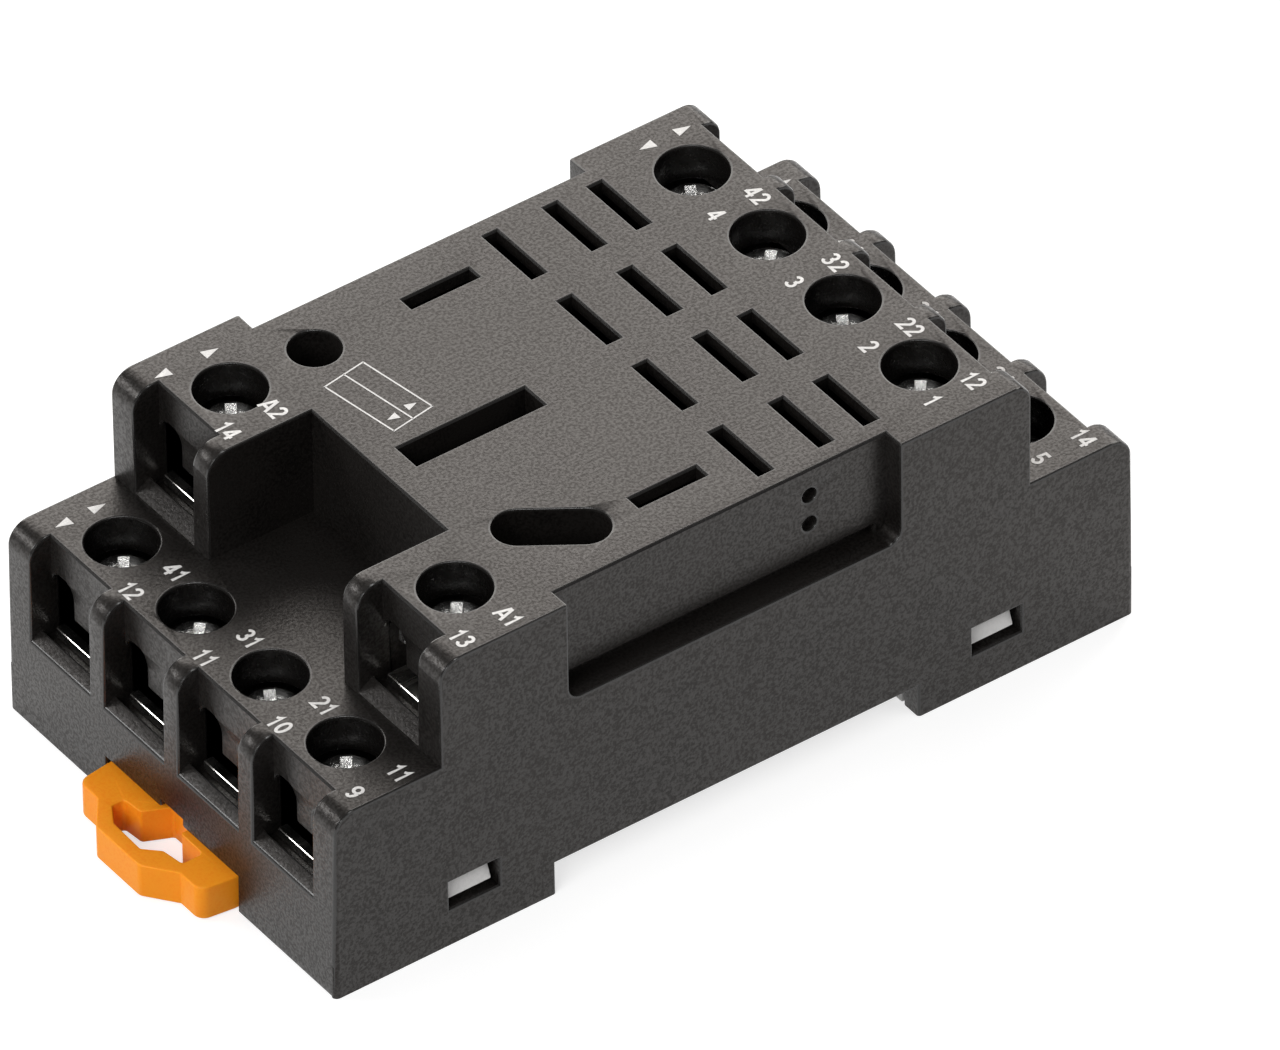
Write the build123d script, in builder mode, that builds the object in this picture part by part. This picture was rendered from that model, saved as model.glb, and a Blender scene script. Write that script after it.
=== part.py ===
from build123d import *
import os

# Relay socket for a four-pole relay, on a 35 mm rail.
# X runs along the socket, Y across it and Z up; the origin is at the middle of the underside.
# The coil terminals stand towards -X, and the orange rail clip comes out of the -X end.

os.makedirs("parts", exist_ok=True)

# Housing outline; places along X keep their share of the body's length
drawn_length = 77.6
body_length = 77.6
share = body_length / drawn_length
body_width = 44.0
end_draft = 0.3
low_deck_z = 18.4
high_deck_z = 28.7
coil_tower_front = 28.3 * share
far_block_front = 28.7 * share
nose_radius = 2.0
far_nose_radius = 1.6
corner_radius = 0.5
wall = 2.0
tower_notch_back = 18.25 * share

# Poles and terminals
pole_pitch = 10.0
pole_rows = (1.5 * pole_pitch, 0.5 * pole_pitch, -0.5 * pole_pitch, -1.5 * pole_pitch)
coil_rows = (1.5 * pole_pitch, -1.5 * pole_pitch)
low_terminal_x = 32.4 * share
coil_terminal_x = 21.75 * share
far_terminal_x = 23.0 * share
fin = 2.0
pocket_width = pole_pitch - fin
lane_width = 8.2

# Screws, wells and clamp plates
well_diameter = 6.0
head_diameter = 5.3
head_height = 2.0
head_depth = 3.0
drive_slot_width = 0.8
drive_slot_depth = 0.9
drive_cross_length = 3.2
drive_cross_width = 0.95
drive_cross_depth = 1.4
drive_turns = (50, 57, 44, 61, 52, 47, 58, 49, 55, 60, 46, 53, 51, 56)
head_dome_inset = 0.5
head_dome_drop = 0.6
tip_chamfer = 0.5
thread_diameter = 3.4
screw_reach = 5.6
thread_clearance = 0.05
clamp_length = 6.0
clamp_breadth = 7.2
clamp_thickness = 1.0
clamp_lip = 0.3
clamp_hole_clearance = 0.3

# Wire pockets, measured from the screw axis or down from the deck
pocket_wall_ahead = 4.05
pocket_wall = 0.7
chamber_behind = 3.6
chamber_clearance = 0.4
ramp_ahead = 5.1
ramp_rise = 0.7
plate_depth = 9.0
plate_thickness = 1.0
wire_lobe_depth = 3.6
wire_lobe_radius = 1.2
tongue_width = 2.3
tongue_depth = 6.85

# Busbars and blade contacts
plate_breadth = 7.0
plate_ahead = 4.2
plate_behind = 3.5
collar_diameter = 5.0
collar_height = 0.8
bar_thickness = 0.7
bar_offset = 3.55
bar_height = 3.4
seat_z = high_deck_z - 11.7
contact_x = {"common": 5.65 * share, "open": 11.5 * share, "closed": 15.85 * share}
coil_contact_x = -1.45 * share
coil_contact_y = 15.1
contact_width = 5.4
contact_base = 2.2
contact_gap = 0.5
contact_sheet = 0.3
contact_top_z = high_deck_z - 2.5
contact_clearance = 0.4
contact_flare = 0.2
contact_throat_drop = 1.6
contact_straight = 3.0
bar_upright_width = 3.4

# Relay plug face
blade_slot_length = 6.5
blade_slot_width = 1.35
top_wall = 1.5
marker_slot_x = -9.4 * share
marker_slot_length = 12.3
marker_slot_width = 2.65
marker_slot_depth = 8.0
mount_hole_x = -13.65 * share
mount_hole_y = 15.0
mount_hole_diameter = 4.35
mount_slot_y = -12.1
mount_slot_run = 5.2
mount_slot_angle = -35
mount_slot_width = 4.2
mount_boss_wall = 0.8
recess_half_length = 16.0 * share
recess_depth = 1.95
recess_floor_z = high_deck_z - 9.75
recess_corner = 1.2
recess_groove = 0.9
side_dot_diameter = 1.3
side_dot_x = 8.6
side_dot_z = (high_deck_z - 5.6, high_deck_z - 2.7)
side_dot_depth = 0.8

# Rail channel, bottom cover and snap hooks
rail_width = 35.2
rail_depth = 3.1
cover_thickness = 1.6
cover_clearance = 0.2
channel_wall = 1.2
channel_roof = 1.3
hook_x = 25.35 * share
hook_width = 4.2
hook_thickness = 1.0
hook_inset = 2.7
hook_nose = 1.0
hook_nose_flat = 0.2
hook_catch_z = 4.05
hook_top_z = 6.1
window_length = 4.8
window_bottom_z = 3.6
window_top_z = 6.35
fixed_catch_reach = 1.3
fixed_catch_width = 6.0
fixed_catch_y = 6.5
catch_bottom_z = 0.3
catch_top_z = 1.9

# Sliding rail clip
clip_width = 17.2
clip_bottom_z = 0.1
clip_top_z = 3.3
clip_clearance = 0.3
clip_guide = 1.0
clip_foot_inset = 0.9
clip_foot_z = 1.1
clip_catch_reach = 1.3
clip_wing_reach = 3.05
clip_tab_reach = 5.1
clip_wing_width = 16.4
clip_tab_width = 5.8
clip_tab_root_width = 11.2
clip_boss_width = 2.3
clip_boss_height = 0.7
clip_boss_length = 0.8
wing_radius = 1.0
tab_radius = 0.8
relief_overrun = 1.0

# Corners of the clip's aperture: distance in from the housing's end face, then y
aperture_radius = 0.35
aperture_back = 1.1
aperture_corners = (
    (-3.7, 2.4), (-3.8, -1.3), (-2.5, -2.6), (-2.2, -4.7), (-0.3, -4.7), (-0.3, -1.7),
    (aperture_back, -1.7), (aperture_back, 1.1), (-1.3, 2.2), (-1.5, 4.2), (-2.6, 4.2),
)

# Cuts run this far past the face that they break through, and corners are picked to this tolerance
cut_overrun = 0.1
tolerance = 0.01
last_pole_terminal = 12

half_length = body_length / 2
half_width = body_width / 2
deck_front = half_length - end_draft
lane_half = lane_width / 2
clip_roof_z = clip_top_z + clip_clearance
channel_top_z = rail_depth + channel_roof
channel_half = rail_width / 2 + channel_wall
cover_half_length = half_length - wall
cover_half_width = half_width - wall
chamber_top = 3.4
chamber_ahead = pocket_wall_ahead - pocket_wall
plate_bottom_depth = plate_depth + plate_thickness

# Each terminal: number, screw x, pole row y, deck height, side that its wire comes from,
# front face of its pocket fins, and the x and y of its blade contact.
terminals = []
for index, row_y in enumerate(pole_rows):
    terminals.append((4 - index, far_terminal_x, row_y, high_deck_z, 1, far_block_front,
                      contact_x["closed"], row_y))
    terminals.append((8 - index, low_terminal_x, row_y, low_deck_z, 1, half_length,
                      contact_x["open"], row_y))
    terminals.append((12 - index, -low_terminal_x, row_y, low_deck_z, -1, half_length,
                      contact_x["common"], row_y))
for index, row_y in enumerate(coil_rows):
    coil_side = 1 if row_y > 0 else -1
    terminals.append((14 - index, -coil_terminal_x, row_y, high_deck_z, -1, coil_tower_front,
                      coil_contact_x, coil_side * coil_contact_y))
terminals.sort()

# Each wall with wire entries: its outer face, deck height, side that it faces and pole rows
wire_walls = (
    (-low_terminal_x - pocket_wall_ahead, low_deck_z, -1, pole_rows),
    (-coil_terminal_x - pocket_wall_ahead, high_deck_z, -1, coil_rows),
    (far_terminal_x + pocket_wall_ahead, high_deck_z, 1, pole_rows),
    (low_terminal_x + pocket_wall_ahead, low_deck_z, 1, pole_rows),
)


def is_coil(number):
    """Terminals 13 and 14 feed the coil."""
    return number > last_pole_terminal


def write(part, name):
    """Label one finished piece and write its STEP file."""
    part.label = name
    export_step(part, f"parts/{name}.step")


# Housing: the outline seen from the long side, drawn out across the width
with BuildPart() as housing:
    with BuildSketch(Plane.XZ) as outline:
        with BuildLine():
            Polyline(
                (-half_length, 0),
                (-deck_front, low_deck_z),
                (-coil_tower_front, low_deck_z),
                (-coil_tower_front, high_deck_z),
                (far_block_front, high_deck_z),
                (far_block_front, low_deck_z),
                (deck_front, low_deck_z),
                (half_length, 0),
                close=True,
            )
        make_face()
        corners = outline.vertices()
        low_noses = [corner for corner in corners
                     if abs(corner.Y - low_deck_z) < tolerance and abs(corner.X) > deck_front - tolerance]
        high_noses = corners.filter_by_position(Axis.Y, high_deck_z - tolerance, high_deck_z + tolerance)
        fillet(low_noses + [high_noses.sort_by(Axis.X)[0]], nose_radius)
        far_nose = outline.vertices().filter_by_position(
            Axis.X, far_block_front - tolerance, far_block_front + tolerance).sort_by(Axis.Y)[-1]
        fillet(far_nose, far_nose_radius)
    extrude(amount=half_width, both=True)
    with BuildSketch(Plane.XY) as plan:
        RectangleRounded(body_length, body_width, corner_radius)
    extrude(amount=high_deck_z, mode=Mode.INTERSECT)

    # Gap between the two coil towers
    with BuildSketch(Plane.XY.offset(low_deck_z)) as tower_gap:
        gap_length = coil_tower_front - tower_notch_back + 1
        with Locations((-tower_notch_back - gap_length / 2, 0)):
            Rectangle(gap_length, 2 * pole_pitch - fin)
    extrude(amount=high_deck_z, mode=Mode.SUBTRACT)

    # Side recesses for the relay's retaining spring, with rounded lower corners
    for side in (1, -1):
        with BuildSketch(Plane.XZ.offset(-side * half_width)) as recess:
            recess_height = high_deck_z + recess_corner - recess_floor_z
            with Locations((0, recess_floor_z + recess_height / 2)):
                RectangleRounded(2 * recess_half_length, recess_height, recess_corner)
            with Locations((0, high_deck_z)):
                Rectangle(2 * recess_half_length, 2 * recess_corner)
        extrude(amount=side * recess_depth, mode=Mode.SUBTRACT)
        with BuildSketch(Plane.XZ.offset(-side * (half_width - recess_depth))) as groove:
            with Locations((0, recess_floor_z + recess_groove / 2)):
                Rectangle(2 * (recess_half_length - recess_corner), recess_groove)
        extrude(amount=side * recess_groove, mode=Mode.SUBTRACT)
        with BuildSketch(Plane.XZ.offset(-side * (half_width - recess_depth))) as side_dots:
            for dot_z in side_dot_z:
                with Locations((side_dot_x, dot_z)):
                    Circle(side_dot_diameter / 2)
        extrude(amount=side * side_dot_depth, mode=Mode.SUBTRACT)

    # Lanes: one hollow under each pole, open at the bottom, stepped to leave an even wall above
    for lane_y in pole_rows:
        outer_lane = abs(lane_y) > pole_pitch
        low_room_top = low_deck_z - chamber_top
        high_room_top = high_deck_z - chamber_top
        strip_room_top = high_deck_z - plate_depth + top_wall
        seat_room_top = seat_z + contact_clearance
        near_chamber = -low_terminal_x + chamber_behind
        coil_chamber = -coil_terminal_x - chamber_ahead
        rooms = [
            (-low_terminal_x - chamber_ahead, near_chamber, low_room_top),
            (near_chamber, wall - tower_notch_back, low_deck_z - wall),
            (wall - tower_notch_back, low_terminal_x - chamber_behind, seat_room_top),
            (low_terminal_x - chamber_behind, low_terminal_x + chamber_ahead, low_room_top),
            (far_terminal_x - chamber_behind, far_terminal_x + chamber_ahead, high_room_top),
            (contact_x["closed"] - contact_base / 2 - contact_clearance,
             far_terminal_x - chamber_behind, strip_room_top),
        ]
        if outer_lane:
            rooms.append((coil_chamber, -coil_terminal_x + chamber_behind, high_room_top))
            rooms.append((-coil_terminal_x + chamber_behind,
                          coil_contact_x + contact_width / 2 + contact_clearance, strip_room_top))
        with BuildSketch(Plane.XZ.offset(-lane_y)) as lane:
            for start_x, end_x, top_z in rooms:
                with Locations(((start_x + end_x) / 2, top_z / 2)):
                    Rectangle(end_x - start_x, top_z)
        extrude(amount=lane_half, both=True, mode=Mode.SUBTRACT)

    # Contact chambers and the blade slots above them
    with BuildSketch(Plane.XY.offset(high_deck_z - top_wall)) as chambers:
        for number, screw_x, row_y, deck_z, facing, front, blade_x, blade_y in terminals:
            with Locations((blade_x, blade_y)):
                Rectangle(contact_base + 2 * contact_clearance, contact_width + 2 * contact_clearance,
                          rotation=90 if is_coil(number) else 0)
    extrude(amount=-(high_deck_z - top_wall - seat_z), mode=Mode.SUBTRACT)
    with BuildSketch(Plane.XY.offset(high_deck_z)) as blade_slots:
        for number, screw_x, row_y, deck_z, facing, front, blade_x, blade_y in terminals:
            with Locations((blade_x, blade_y)):
                Rectangle(blade_slot_width, blade_slot_length, rotation=90 if is_coil(number) else 0)
    extrude(amount=-2 * top_wall, mode=Mode.SUBTRACT)

    # Wire pockets, one sketch for each pole row
    for lane_y in pole_rows:
        with BuildSketch(Plane.XZ.offset(-lane_y)) as pockets:
            for number, screw_x, row_y, deck_z, facing, front, blade_x, blade_y in terminals:
                if row_y != lane_y:
                    continue
                mouth = front - abs(screw_x) + cut_overrun
                threshold_z = deck_z - plate_bottom_depth
                ramp_top_z = deck_z - plate_depth - cut_overrun
                with BuildLine():
                    Polyline([
                        (screw_x + facing * ahead, z)
                        for ahead, z in (
                            (pocket_wall_ahead, deck_z + wall),
                            (pocket_wall_ahead, threshold_z),
                            (ramp_ahead, threshold_z),
                            (ramp_ahead, ramp_top_z),
                            (mouth, ramp_top_z - ramp_rise * (mouth - ramp_ahead)),
                            (mouth, deck_z + wall),
                        )
                    ], close=True)
                make_face()
        extrude(amount=pocket_width / 2, both=True, mode=Mode.SUBTRACT)

    # Wire entries through the pocket walls: two arched lobes with a tongue between them
    for wall_x, deck_z, facing, rows in wire_walls:
        wall_plane = Plane(origin=(wall_x, 0, 0), x_dir=(0, 1, 0), z_dir=(1, 0, 0))
        threshold_z = deck_z - plate_bottom_depth
        lobe_top_z = deck_z - wire_lobe_depth
        lobe_width = (pocket_width - tongue_width) / 2
        tongue_z = deck_z - tongue_depth
        with BuildSketch(wall_plane) as wire_entries:
            for row_y in rows:
                for side in (1, -1):
                    lobe_y = row_y + side * (tongue_width + lobe_width) / 2
                    with Locations((lobe_y, (lobe_top_z + threshold_z) / 2)):
                        RectangleRounded(lobe_width, lobe_top_z - threshold_z, wire_lobe_radius)
                with Locations((row_y, (tongue_z + threshold_z) / 2)):
                    Rectangle(pocket_width, tongue_z - threshold_z)
        extrude(amount=-facing * (pocket_wall + cut_overrun), mode=Mode.SUBTRACT)

    # Screw wells
    for deck_z in (low_deck_z, high_deck_z):
        with BuildSketch(Plane.XY.offset(deck_z)) as wells:
            for number, screw_x, row_y, own_deck_z, facing, front, blade_x, blade_y in terminals:
                if own_deck_z == deck_z:
                    with Locations((screw_x, row_y)):
                        Circle(well_diameter / 2)
        extrude(amount=-chamber_top - cut_overrun, mode=Mode.SUBTRACT)

    # Bosses round the two panel mounting holes, then the holes themselves
    slot_shift = mount_slot_run / 2
    slot_centre = (Vector(mount_hole_x, mount_slot_y)
                   + Vector(slot_shift, 0).rotate(Axis.Z, mount_slot_angle))
    with BuildSketch(Plane.XY.offset(channel_top_z)) as bosses:
        with Locations((mount_hole_x, mount_hole_y)):
            Circle(mount_hole_diameter / 2 + mount_boss_wall)
        with Locations(slot_centre):
            SlotCenterToCenter(mount_slot_run, mount_slot_width + 2 * mount_boss_wall,
                               rotation=mount_slot_angle)
    extrude(amount=high_deck_z - channel_top_z)
    with BuildSketch(Plane.XY) as mount_holes:
        with Locations((mount_hole_x, mount_hole_y)):
            Circle(mount_hole_diameter / 2)
        with Locations(slot_centre):
            SlotCenterToCenter(mount_slot_run, mount_slot_width, rotation=mount_slot_angle)
    extrude(amount=high_deck_z + cut_overrun, mode=Mode.SUBTRACT)

    # Marker slot in the middle of the plug face
    with BuildSketch(Plane.XY.offset(high_deck_z)) as marker_slot:
        with Locations((marker_slot_x, 0)):
            Rectangle(marker_slot_length, marker_slot_width)
    extrude(amount=-marker_slot_depth, mode=Mode.SUBTRACT)

    # Rebate for the bottom cover, rail channel across the sides and mouth for the clip
    with BuildSketch(Plane.XZ) as rebate:
        with Locations((0, cover_thickness / 2)):
            Rectangle(2 * cover_half_length, cover_thickness)
        with Locations((0, channel_top_z / 2)):
            Rectangle(2 * channel_half, channel_top_z)
    extrude(amount=cover_half_width, both=True, mode=Mode.SUBTRACT)
    with BuildSketch(Plane.XZ) as rail_notch:
        with Locations((0, rail_depth / 2)):
            Rectangle(rail_width, rail_depth)
    extrude(amount=half_width, both=True, mode=Mode.SUBTRACT)
    guide_half = clip_width / 2 + clip_clearance + clip_guide
    with BuildSketch(Plane.YZ) as clip_mouth:
        with Locations((0, clip_roof_z / 2)):
            Rectangle(clip_width + 2 * clip_clearance, clip_roof_z)
        with Locations((0, (clip_roof_z + clip_boss_height) / 2)):
            Rectangle(clip_boss_width + 2 * clip_clearance, clip_roof_z + clip_boss_height)
    extrude(amount=-half_length, mode=Mode.SUBTRACT)
    with BuildSketch(Plane.XY) as guide_room:
        guide_length = cover_half_length - rail_width / 2
        with Locations((-cover_half_length + guide_length / 2, 0)):
            Rectangle(guide_length, 2 * guide_half)
    extrude(amount=clip_roof_z + clip_guide, mode=Mode.SUBTRACT)

    # Windows for the four snap hooks
    for end in (1, -1):
        for side in (1, -1):
            hook_room = hook_width + 2 * cover_clearance
            arm_inner = half_width - hook_inset - cover_clearance
            with BuildSketch(Plane.XY) as arm_slot:
                with Locations((end * hook_x, side * (arm_inner + hook_thickness / 2 + cover_clearance))):
                    Rectangle(hook_room, hook_thickness + 2 * cover_clearance)
            extrude(amount=window_top_z, mode=Mode.SUBTRACT)
            with BuildSketch(Plane.XZ.offset(-side * half_width)) as window:
                with Locations((end * hook_x, (window_bottom_z + window_top_z) / 2)):
                    Rectangle(window_length, window_top_z - window_bottom_z)
            extrude(amount=side * hook_inset, mode=Mode.SUBTRACT)
write(housing.part, "housing")


# Bottom cover: plate, rail channel, clip guide, fixed rail catches and four snap hooks
with BuildPart() as cover:
    plate_half_length = cover_half_length - cover_clearance
    plate_half_width = cover_half_width - cover_clearance
    with BuildSketch(Plane.XZ) as cover_section:
        with Locations((0, cover_thickness / 2)):
            Rectangle(2 * plate_half_length, cover_thickness)
        with Locations((0, channel_top_z / 2)):
            Rectangle(2 * (channel_half - cover_clearance), channel_top_z)
        with Locations((0, rail_depth / 2)):
            Rectangle(rail_width, rail_depth, mode=Mode.SUBTRACT)
    extrude(amount=plate_half_width, both=True)

    # Tunnel that guides the clip, with a lip under each edge of it
    tunnel_half = clip_width / 2 + clip_clearance
    tunnel_start = -plate_half_length
    tunnel_end = -rail_width / 2
    with BuildSketch(Plane.YZ.offset(tunnel_start)) as tunnel:
        tunnel_top_z = clip_roof_z + clip_guide - cover_clearance
        with Locations((0, tunnel_top_z / 2)):
            Rectangle(2 * (tunnel_half + clip_guide - cover_clearance), tunnel_top_z)
    extrude(amount=tunnel_end - tunnel_start)
    with BuildSketch(Plane.YZ.offset(tunnel_start)) as bore:
        with Locations((0, (clip_foot_z + clip_roof_z) / 2)):
            Rectangle(2 * tunnel_half, clip_roof_z - clip_foot_z)
        with Locations((0, clip_foot_z / 2)):
            Rectangle(2 * (tunnel_half - clip_foot_inset), clip_foot_z)
    extrude(amount=tunnel_end - tunnel_start, mode=Mode.SUBTRACT)

    # Fixed catches that hook under the far edge of the rail
    for side in (1, -1):
        with BuildSketch(Plane.XZ.offset(-side * fixed_catch_y)) as fixed_catch:
            with BuildLine():
                Polyline(
                    (rail_width / 2 + channel_wall / 2, catch_bottom_z),
                    (rail_width / 2 - fixed_catch_reach / 2, catch_bottom_z),
                    (rail_width / 2 - fixed_catch_reach, (catch_bottom_z + catch_top_z) / 2),
                    (rail_width / 2 - fixed_catch_reach, catch_top_z),
                    (rail_width / 2 + channel_wall / 2, catch_top_z),
                    close=True,
                )
            make_face()
        extrude(amount=fixed_catch_width / 2, both=True)

    # Snap hooks: an upright arm with a ramped nose
    for end in (1, -1):
        for side in (1, -1):
            arm_inner = half_width - hook_inset
            arm_outer = arm_inner + hook_thickness
            with BuildSketch(Plane.YZ.offset(end * hook_x)) as hook:
                with BuildLine():
                    Polyline([
                        (side * y, z) for y, z in (
                            (arm_inner, 0),
                            (arm_outer, 0),
                            (arm_outer, hook_catch_z),
                            (arm_outer + hook_nose, hook_catch_z),
                            (arm_outer + hook_nose_flat, hook_top_z),
                            (arm_inner, hook_top_z),
                        )
                    ], close=True)
                make_face()
            extrude(amount=hook_width / 2, both=True)

    # The panel mounting holes go on through the cover
    with BuildSketch(Plane.XY) as cover_holes:
        with Locations((mount_hole_x, mount_hole_y)):
            Circle(mount_hole_diameter / 2)
        with Locations(slot_centre):
            SlotCenterToCenter(mount_slot_run, mount_slot_width, rotation=mount_slot_angle)
    extrude(amount=channel_top_z, mode=Mode.SUBTRACT)
write(cover.part, "bottom_cover")


# Rail clip: a flat slide with a catch at its inner end and a pull tab with an aperture
with BuildPart() as clip:
    wing_x = -half_length - clip_wing_reach
    tab_x = -half_length - clip_tab_reach
    slide_end = -rail_width / 2 - clip_clearance
    with BuildSketch(Plane.XY.offset(clip_bottom_z)) as slide:
        with BuildLine():
            Polyline(
                (slide_end, clip_width / 2),
                (-half_length, clip_width / 2),
                (wing_x, clip_wing_width / 2),
                (wing_x, clip_tab_root_width / 2),
                (tab_x, clip_tab_width / 2),
                (tab_x, -clip_tab_width / 2),
                (wing_x, -clip_tab_root_width / 2),
                (wing_x, -clip_wing_width / 2),
                (-half_length, -clip_width / 2),
                (slide_end, -clip_width / 2),
                close=True,
            )
        make_face()
        wing_tips = slide.vertices().filter_by_position(
            Axis.X, wing_x - tolerance, wing_x + tolerance).sort_by(Axis.Y)
        fillet([wing_tips[0], wing_tips[-1]], wing_radius)
        tab_tips = slide.vertices().filter_by_position(Axis.X, tab_x - tolerance, tab_x + tolerance)
        fillet(tab_tips, tab_radius)
    extrude(amount=clip_top_z - clip_bottom_z)

    # Relief along both lower edges, for the guide lips; it starts inside the mouth
    relief_start = -cover_half_length - clip_clearance
    relief_length = slide_end + relief_overrun - relief_start
    for side in (1, -1):
        with BuildSketch(Plane.XY.offset(clip_bottom_z)) as relief:
            with Locations((relief_start + relief_length / 2, side * clip_width / 2)):
                Rectangle(relief_length, 2 * clip_foot_inset)
        extrude(amount=clip_foot_z + clip_clearance - clip_bottom_z, mode=Mode.SUBTRACT)

    # Catch that goes under the rail
    with BuildSketch(Plane.XZ) as clip_catch:
        catch_x = -rail_width / 2 + clip_catch_reach
        with BuildLine():
            Polyline(
                (slide_end - relief_overrun, clip_bottom_z),
                (catch_x - clip_catch_reach / 2, clip_bottom_z),
                (catch_x, (catch_bottom_z + catch_top_z) / 2),
                (catch_x, catch_top_z),
                (slide_end - relief_overrun, catch_top_z),
                close=True,
            )
        make_face()
    extrude(amount=clip_width / 2 - clip_foot_inset, both=True)

    # Aperture behind the pull tab, with a notch for the blade of a screwdriver
    with BuildSketch(Plane.XY) as aperture:
        with BuildLine():
            Polyline([(-half_length + inward, y) for inward, y in aperture_corners], close=True)
        make_face()
        fillet(aperture.vertices(), aperture_radius)
    extrude(amount=clip_top_z, mode=Mode.SUBTRACT)

    # Small boss on top, flush with the back of the aperture, inside the mouth of the housing
    with BuildSketch(Plane.XY.offset(clip_top_z)) as boss:
        with Locations((-half_length + aperture_back + clip_boss_length / 2, 0)):
            Rectangle(clip_boss_length, clip_boss_width)
    extrude(amount=clip_boss_height)
write(clip.part, "rail_clip")


# Terminal screws: round head with a slot and a cross recess, and a plain shank for the thread
for number, screw_x, row_y, deck_z, facing, front, blade_x, blade_y in terminals:
    head_top_z = deck_z - head_depth
    head_bottom_z = head_top_z - head_height
    tip_z = head_bottom_z - screw_reach
    with BuildPart() as screw:
        with BuildSketch(Plane.XZ.offset(-row_y)) as screw_half:
            with BuildLine():
                Polyline([
                    (screw_x + radius, z) for radius, z in (
                        (0, head_top_z),
                        (head_diameter / 2 - head_dome_inset, head_top_z),
                        (head_diameter / 2, head_top_z - head_dome_drop),
                        (head_diameter / 2, head_bottom_z),
                        (thread_diameter / 2, head_bottom_z),
                        (thread_diameter / 2, tip_z + tip_chamfer),
                        (thread_diameter / 2 - tip_chamfer, tip_z),
                        (0, tip_z),
                    )
                ], close=True)
            make_face()
        revolve(axis=Axis((screw_x, row_y, 0), (0, 0, 1)))
        turn = drive_turns[number - 1]
        with BuildSketch(Plane.XY.offset(head_top_z)) as drive_slot:
            with Locations((screw_x, row_y)):
                Rectangle(drive_slot_width, head_diameter, rotation=turn)
        extrude(amount=-drive_slot_depth, mode=Mode.SUBTRACT)
        with BuildSketch(Plane.XY.offset(head_top_z)) as drive_cross:
            with Locations((screw_x, row_y)):
                Rectangle(drive_cross_length, drive_cross_width, rotation=turn)
                Rectangle(drive_cross_width, drive_cross_length, rotation=turn)
        extrude(amount=-drive_cross_depth, mode=Mode.SUBTRACT)
    write(screw.part, f"terminal_screw_{number:02d}")


# Clamp plates: a square washer with its two edges turned down over the wire
for number, screw_x, row_y, deck_z, facing, front, blade_x, blade_y in terminals:
    clamp_top_z = deck_z - head_depth - head_height
    with BuildPart() as clamp_plate:
        with BuildSketch(Plane.YZ.offset(screw_x - clamp_length / 2)) as clamp_section:
            with Locations((row_y, clamp_top_z - clamp_thickness / 2)):
                Rectangle(clamp_breadth, clamp_thickness)
            for side in (1, -1):
                with Locations((row_y + side * (clamp_breadth - clamp_thickness) / 2,
                                clamp_top_z - (clamp_thickness + clamp_lip) / 2)):
                    Rectangle(clamp_thickness, clamp_thickness + clamp_lip)
        extrude(amount=clamp_length)
        with BuildSketch(Plane.XY.offset(clamp_top_z)) as clamp_hole:
            with Locations((screw_x, row_y)):
                Circle(thread_diameter / 2 + clamp_hole_clearance)
        extrude(amount=-clamp_thickness, mode=Mode.SUBTRACT)
    write(clamp_plate.part, f"clamp_plate_{number:02d}")


# Busbars: a threaded plate under each screw, a leg on edge beside the lane, and a contact seat
for number, screw_x, row_y, deck_z, facing, front, blade_x, blade_y in terminals:
    outward = 1 if row_y > 0 else -1
    plate_top_z = deck_z - plate_depth
    plate_bottom_z = plate_top_z - plate_thickness
    leg_y = row_y + outward * bar_offset
    leg_inner_y = row_y + outward * (bar_offset - bar_thickness / 2)
    leg_bottom_z = plate_top_z - bar_height
    back_x = screw_x - facing * plate_behind
    half_seat = contact_width / 2 if is_coil(number) else contact_base / 2
    seat_end_x = blade_x - facing * half_seat
    with BuildPart() as busbar:
        with BuildSketch(Plane.XY.offset(plate_bottom_z)) as plate:
            plate_front_x = screw_x + facing * plate_ahead
            with Locations(((back_x + plate_front_x) / 2, row_y)):
                Rectangle(abs(plate_front_x - back_x), plate_breadth)
        extrude(amount=plate_thickness)
        with BuildSketch(Plane.XY.offset(plate_bottom_z)) as collar:
            with Locations((screw_x, row_y)):
                Circle(collar_diameter / 2)
        extrude(amount=-collar_height)
        with BuildSketch(Plane.XZ.offset(-leg_y)) as leg:
            leg_start_x = screw_x + facing * (chamber_ahead - chamber_clearance)
            with Locations(((leg_start_x + seat_end_x) / 2, (plate_top_z + leg_bottom_z) / 2)):
                Rectangle(abs(leg_start_x - seat_end_x), bar_height)
            if plate_top_z < seat_z:
                with Locations((blade_x, (leg_bottom_z + seat_z) / 2)):
                    Rectangle(bar_upright_width, seat_z - leg_bottom_z)
        extrude(amount=bar_thickness / 2, both=True)
        with BuildSketch(Plane.XY.offset(seat_z)) as seat:
            seat_inner_y = blade_y - outward * (contact_base if is_coil(number) else contact_width) / 2
            with Locations((blade_x, (seat_inner_y + leg_y) / 2)):
                Rectangle(2 * half_seat, abs(leg_y - seat_inner_y))
        extrude(amount=-bar_thickness)
        with BuildSketch(Plane.XY.offset(plate_top_z)) as thread_hole:
            with Locations((screw_x, row_y)):
                Circle(thread_diameter / 2 + thread_clearance)
        extrude(amount=-plate_thickness - collar_height, mode=Mode.SUBTRACT)
    write(busbar.part, f"busbar_{number:02d}")


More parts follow.
